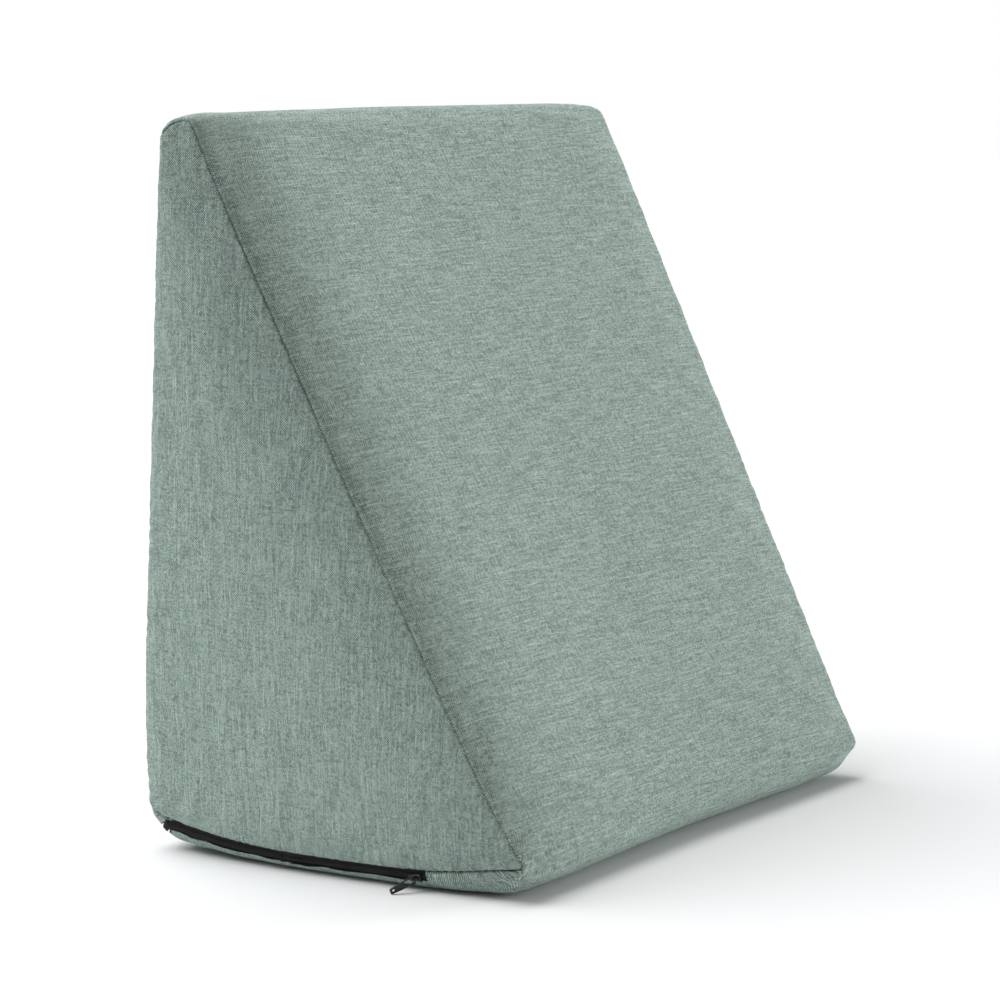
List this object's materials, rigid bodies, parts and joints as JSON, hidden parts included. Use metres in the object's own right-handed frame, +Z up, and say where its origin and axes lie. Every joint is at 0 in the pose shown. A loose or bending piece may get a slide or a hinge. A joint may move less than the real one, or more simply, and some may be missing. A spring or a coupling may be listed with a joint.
{
  "type": "wedge pillow",
  "caption": "Firm foam wedge cushion with a steep sloping face, a nearly upright back, a flat base and a zipped woven cover.",
  "frame": {"origin": "middle of the flat base, on the surface that the cushion stands on", "axes": "+Z up, X along the ridge, the sloping face towards -Y and the upright back towards +Y"},
  "size_m": [0.5085, 0.3111, 0.5],
  "materials": {
    "cover_cloth": "sage green melange plain weave, matt",
    "zip_black": "black woven tape and nylon coil, matt",
    "zip_metal": "black lacquer, satin"
  },
  "bodies": {
    "root": {"cushion": "cover_cloth", "side_panel_left": "cover_cloth", "side_panel_right": "cover_cloth", "zip_tape_upper": "zip_black", "zip_tape_lower": "zip_black", "zip_coil": "zip_black", "zip_slider": "zip_metal", "zip_pull": "zip_metal"}
  },
  "joints": []
}
